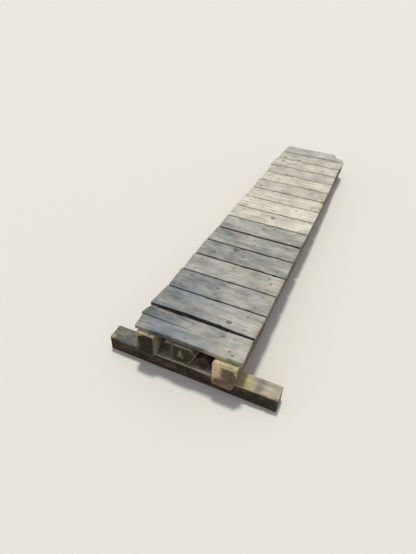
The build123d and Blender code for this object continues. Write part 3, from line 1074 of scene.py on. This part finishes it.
def bare_wood(name, look):
    """Bare wood left outdoors, in the look's colours, from the piece's own record of grain and wear, and of
    painted light and shade.
    """
    material, tree, surface = new_material(name)
    layer = {key: add(tree, "Attribute", [], attribute_name=key, out="Vector")
             for key in ("grain", *record_layers)}
    state = {}
    for key, names in record_layers.items():
        state.update(zip(names, add(tree, "SeparateXYZ", [layer[key]], out=None)))
    value = wood_patterns(tree, layer["grain"])
    tone = look["rings"]
    for label, weight in (("streak", look["streak"]), ("fibre", look["fibre"]), ("rings", -look["rings"]),
                          ("cloud", look["cloud"])):
        tone = add(tree, "Math", [value[label], weight, tone], operation="MULTIPLY_ADD")
    colour = add(tree, "ValToRGB", [tone], look["grain"])
    knot, knot_colour, knot_checks = knot_wood(tree, layer, value, state, look)
    coats = [(state["end"], end_grain(tree, value, state, look)), (knot, knot_colour)]
    coats += outdoor_coats(tree, value, state, look)

    # Marks with a sharper edge: hairline checks, specks of dirt, rust, open checks
    hair = add(tree, "MapRange", [value["hairline"], 0.80, 0.98, 0.0, look["hairline"]])
    spot = add(tree, "MapRange", [value["speck"], 0.86, 1.0, 0.0, look["speck"]])
    rusty = add(tree, "Math", [state["rust"], 0.85], operation="MULTIPLY", use_clamp=True)
    cracked = add(tree, "MapRange", [state["crack"], 0.15, 0.80, 0.0, 0.90], interpolation_type="SMOOTHSTEP")
    end_flat = add(tree, "VectorMath", [layer["grain"], (0, 1, 1)], operation="MULTIPLY")
    end_checks = radial_checks(tree, end_flat, layer["grain"], 0.0011, 1.7)
    for share in (state["end"], value["cloud"], look["end_checks"]):
        end_checks = add(tree, "Math", [end_checks, share], operation="MULTIPLY")
    for part, over in ((hair, look["crack"]), (spot, look["dirt"]), (rusty, rust_brown),
                       (knot_checks, look["crack"]), (end_checks, look["crack"]), (cracked, look["crack"])):
        coats.append((part, linear(over)))
    for share, over in coats:
        colour = add(tree, "Mix", {0: share, 6: colour, 7: over}, data_type="RGBA", out=2)
    bright = add(tree, "Math", [state["light"], 0.22, 1 - look["blotches"] / 2], operation="MULTIPLY_ADD")
    bright = add(tree, "Math", [value["weather"], look["blotches"], bright], operation="MULTIPLY_ADD")
    colour = add(tree, "HueSaturation", {"Value": bright, "Color": colour})
    rough = add(tree, "MapRange", [value["streak"], 0.0, 1.0, *look["rough"]])

    height = 0.0
    for part, weight in ((value["fibre"], 0.5), (value["rings"], 0.25), (value["streak"], 0.35), (hair, -0.9),
                         (value["speck"], 0.12), (end_checks, -1.5), (knot_checks, -1.0)):
        height = add(tree, "Math", [part, weight, height], operation="MULTIPLY_ADD")
    relief = add(tree, "Bump", {"Height": height, "Strength": 0.9, "Distance": look["relief"]})
    for socket, source in (("Base Color", colour), ("Roughness", rough), ("Normal", relief)):
        tree.links.new(source, surface[socket])
    surface["IOR"].default_value = 1.5
    surface["Specular IOR Level"].default_value = 0.3
    return material


def ramp(positions, *colours):
    """A ramp's stops."""
    return list(zip(positions, colours))


# Where the colours of the grain, of the end grain and of the knots stand on their ramps
grain_at = (0.10, 0.36, 0.60, 0.85)
end_at = (0.1, 0.5, 0.9)
knot_at = (0.15, 0.55, 0.90, 1.0)

# What the woods share. Dry wood is silver grey, and wood that stays damp has browner knots.
dry = {
    "streak": 0.40, "fibre": 0.26, "rings": 0.16, "cloud": 0.18, "blotches": 0.32, "rim": 0.80,
    "cool": "#8c969d", "cool_dark": "#697176", "dirt": "#5f5646", "dirt_share": 0.55, "dirt_broken": 0.6,
    "pale": "#b58a5e", "pale_share": 0.9, "moss": "#8f8f52", "moss_share": 0.85, "crack": "#2c2620",
    "hairline": 0.55, "speck": 0.45, "end_checks": 0.9, "rough": (0.80, 0.95), "relief": 0.0007,
    "knot": ramp(knot_at, "#75685a", "#968974", "#85785f", "#665b4b"),
}
damp = {**dry, "knot": ramp(knot_at, "#463828", "#66553f", "#55462f", "#392e20"), "relief": 0.0010}

# Sawn softwood boards, bare for years: sun and rain leave silver-grey raised fibres with pale summer
# wood between darker rings, blue-grey stains and brown, unbleached edges
board_wood = bare_wood("weathered_sawn_softwood", {
    **dry,
    "grain": ramp((0.10, 0.34, 0.55, 0.80), "#8d8678", "#b5ad9c", "#d0c8b6", "#e6dfce"),
    "heart": ramp(end_at, "#7a6c58", "#9d917c", "#bcb19b"),
    "sap": ramp(end_at, "#80735f", "#a3967f", "#c4b9a2"),
    "end_checks": 0.12, "pale": "#d6c79e", "blotches": 0.50,
})

# Rough-sawn timber lying on wet ground: grey on top, earth-brown and damp down its sides, which are darkened
# partly as painted shade
sill_wood = bare_wood("damp_rough_sawn_timber", {
    **damp,
    "grain": ramp(grain_at, "#8a8375", "#a69e8c", "#beb5a1", "#d3c9b3"),
    "heart": ramp(end_at, "#5f4d39", "#84704f", "#a08a64"),
    "sap": ramp(end_at, "#6b5a43", "#8f7c5b", "#aa9570"),
    "dirt": "#2e2014", "dirt_share": 1.0, "dirt_broken": 0.24, "pale": "#d3b389", "moss": "#b9b077",
    # Its blue-grey is dark, partly as painted shade on the top's left end
    "cool": "#515b5f", "cool_dark": "#394246", "rough": (0.70, 0.92),
})

# Rough-sawn timber out of the rain: saw-fuzzed, olive brown, darker with dirt, and with painted shade along
# its inner side under the deck
sawn_stringer_wood = bare_wood("rough_sawn_stringer_timber", {
    **damp,
    "grain": ramp(grain_at, "#776c56", "#93876e", "#aea188", "#c3b89f"),
    # Its end grain is near black, partly as painted shade
    "heart": ramp(end_at, "#17140d", "#262116", "#393224"),
    "sap": ramp(end_at, "#3f3728", "#5b513b", "#7a6d4f"),
    "dirt": "#473b2b", "dirt_share": 0.7, "pale": "#a39a74", "moss": "#b3ad63", "rough": (0.75, 0.93),
})

# Axe-hewn log: olive brown and dull in the shade of the boards, pale dry checks in its end
hewn_log_wood = bare_wood("axe_hewn_log_wood", {
    **damp,
    "grain": ramp(grain_at, "#514834", "#6b6049", "#857860", "#998d72"),
    "heart": ramp(end_at, "#1b1810", "#2c271a", "#413a2a"),
    "sap": ramp(end_at, "#363021", "#4b4331", "#625944"),
    "dirt": "#332b1f", "dirt_share": 0.8, "pale": "#a89e86", "pale_share": 1.1, "rough": (0.78, 0.95),
})

# Peeled pole that has stayed damp: dark red-brown, its end darker still, partly as painted shade, smooth
# between its checks
pole_wood = bare_wood("damp_peeled_pole_wood", {
    **damp,
    "grain": ramp(grain_at, "#3f3026", "#584436", "#715a48", "#86705b"),
    "heart": ramp(end_at, "#160f0b", "#221812", "#32261d"),
    "sap": ramp(end_at, "#32251e", "#47372d", "#634f41"),
    "dirt": "#2a2018", "dirt_share": 0.6, "rough": (0.62, 0.85), "relief": 0.0007,
})

# Peeled log with its end cut off square: yellowish sapwood as a rim round a darker, redder heart, the rim
# shown and paler on the end's left and top partly as painted sunlight
log_wood = bare_wood("peeled_log_wood", {
    **damp,
    # Its sides are dark brown, partly as painted shade
    "grain": ramp(grain_at, "#40372b", "#5c503f", "#786a53", "#93856b"),
    "heart": ramp(end_at, "#453529", "#6d5947", "#927e69"),
    "sap": ramp(end_at, "#a08a66", "#c4ad83", "#dcc9a0"),
    "dirt": "#77482a", "dirt_share": 0.85, "pale": "#e6ce9f", "pale_share": 0.95, "moss": "#d3c796",
    "rim": 0.70, "rough": (0.75, 0.93), "relief": 0.0009,
})


def nail_iron():
    """Steel nails rusted through their zinc."""
    # Rust leaves the heads dull and pitted, dark brown with a little orange
    material, tree, surface = new_material("rusted_steel_nail")
    grain = add(tree, "Attribute", [], attribute_name="grain", out="Vector")
    pits = add(tree, "TexNoise", {"Vector": grain, "Scale": pits_per_metre, "Detail": 3.0})
    colour = add(tree, "ValToRGB", [pits], ramp((0.3, 0.55, 0.8), "#332923", "#4c392e", "#6d4f3c"))
    relief = add(tree, "Bump", {"Height": pits, "Strength": 0.6, "Distance": 0.0004})
    for socket, source in (("Base Color", colour), ("Normal", relief)):
        tree.links.new(source, surface[socket])
    surface["Roughness"].default_value = 0.75
    surface["Metallic"].default_value = 0.35
    return material


# The bridge
nails = []
for number in range(1, board_count + 1):
    lay_board(number, board_wood, nails)
nail_heads(nails, nail_iron())
sill_timber(sill_wood)
left_timber(sawn_stringer_wood)
middle_log(hewn_log_wood)
thin_pole(pole_wood)
right_log(log_wood)


# Floor, light and camera

def studio_floor():
    """A wide pale floor under the bridge."""
    reach = 60.0
    corners = [(-reach, -reach, 0), (reach, -reach, 0), (reach, reach, 0), (-reach, reach, 0)]
    mesh = bpy.data.meshes.new("studio_floor")
    mesh.from_pydata(corners, [], [(0, 1, 2, 3)])
    material, _, surface = new_material("matt_floor_paint")
    surface["Base Color"].default_value = linear("#dfdcd5")
    surface["Roughness"].default_value = 0.9
    mesh.materials.append(material)
    floor = new_object("studio_floor", mesh)


def studio_light():
    """Even light from all round, with a soft key from above and the far left: colours show as written."""
    key_from = (-0.12, 0.24, 1.0)
    world = bpy.data.worlds.new("studio")
    bpy.context.scene.world = world
    world.use_nodes = True
    tree = world.node_tree
    path = add(tree, "LightPath", [], out=None)
    seen = add(tree, "Math", [path["Is Camera Ray"], path["Is Glossy Ray"]], operation="MAXIMUM")
    seen = add(tree, "Math", [seen, path["Is Transmission Ray"]], operation="MAXIMUM")
    fill = add(tree, "Background", {"Color": linear("#f1f4fa"), "Strength": 0.52})
    backdrop = add(tree, "Background", {"Color": linear("#ebe9e4"), "Strength": 1.0})
    both = add(tree, "MixShader", [seen, fill, backdrop])
    tree.links.new(both, tree.nodes["World Output"].inputs["Surface"])
    key = bpy.data.lights.new("key", "SUN")
    key.energy = 2.1
    key.angle = math.radians(7)
    key.color = (1.0, 0.965, 0.90)
    new_object("key", key).matrix_world = Vector(key_from).to_track_quat("Z", "Y").to_matrix().to_4x4()


def photo_camera():
    """The camera where it stood over the near end, in the deck's frame: held at head height."""
    eye = (0.934, -1.319, 1.543)
    pan, pitch, roll = math.radians(21.95), math.radians(90 - 37.51), math.radians(3.56)
    frame_height, focal_pixels = 554, 420
    data = bpy.data.cameras.new("camera")
    data.sensor_width = 36.0
    data.lens = data.sensor_width * focal_pixels / frame_height
    camera = new_object("camera", data)
    turn = Matrix.Rotation(pan, 4, "Z") @ Matrix.Rotation(pitch, 4, "X") @ Matrix.Rotation(roll, 4, "Z")
    camera.matrix_world = deck @ Matrix.Translation(eye) @ turn
    bpy.context.scene.camera = camera


studio_floor()
studio_light()
photo_camera()
bpy.context.scene.view_settings.view_transform = "Standard"
